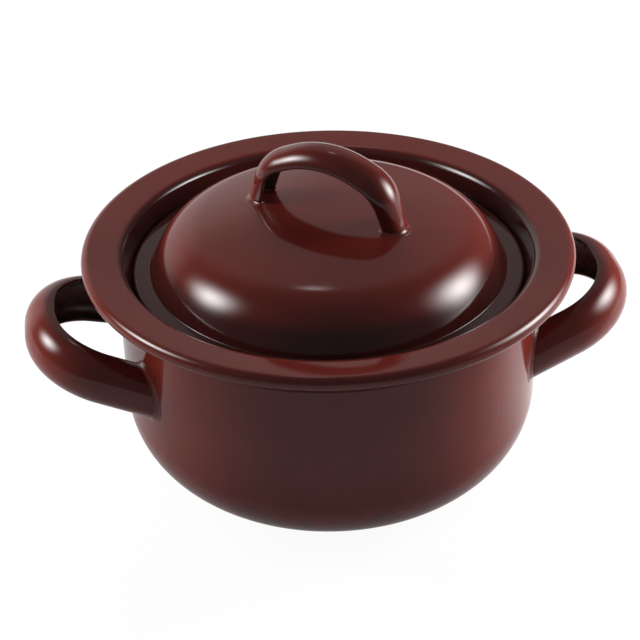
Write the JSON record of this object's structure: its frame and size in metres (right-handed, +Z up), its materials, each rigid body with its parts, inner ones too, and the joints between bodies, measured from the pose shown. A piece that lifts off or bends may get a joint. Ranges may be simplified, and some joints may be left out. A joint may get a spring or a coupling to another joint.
{
  "type": "enamel casserole pot",
  "caption": "Low enamelled steel casserole pot with a flared rolled rim, strap loop side handles and a domed lid with a bow handle that sits down inside the rim.",
  "frame": {"origin": "centre of the standing ring under the base, on the pot's axis", "axes": "+Z up along the pot's axis, +X along the line through both side handles"},
  "size_m": [0.2506, 0.2, 0.1437],
  "materials": {
    "pot_enamel": "glossy dark red-brown enamel",
    "lid_enamel": "glossy dark red-brown enamel",
    "handle_enamel": "glossy dark red-brown enamel",
    "weld_enamel": "glossy dark red-brown enamel, run into the corner"
  },
  "bodies": {
    "pot": {"pot_shell": "pot_enamel", "right_handle": "handle_enamel", "right_handle_front_weld": "weld_enamel", "right_handle_rear_weld": "weld_enamel", "left_handle": "handle_enamel", "left_handle_rear_weld": "weld_enamel", "left_handle_front_weld": "weld_enamel"},
    "lid": {"lid_shell": "lid_enamel", "lid_handle": "handle_enamel", "lid_handle_right_weld": "weld_enamel", "lid_handle_left_weld": "weld_enamel"}
  },
  "joints": [
    {"name": "lid_lift", "type": "slide", "parent": "pot", "child": "lid", "axis": [0, 0, 1], "range_m": [0, 0.12]}
  ]
}
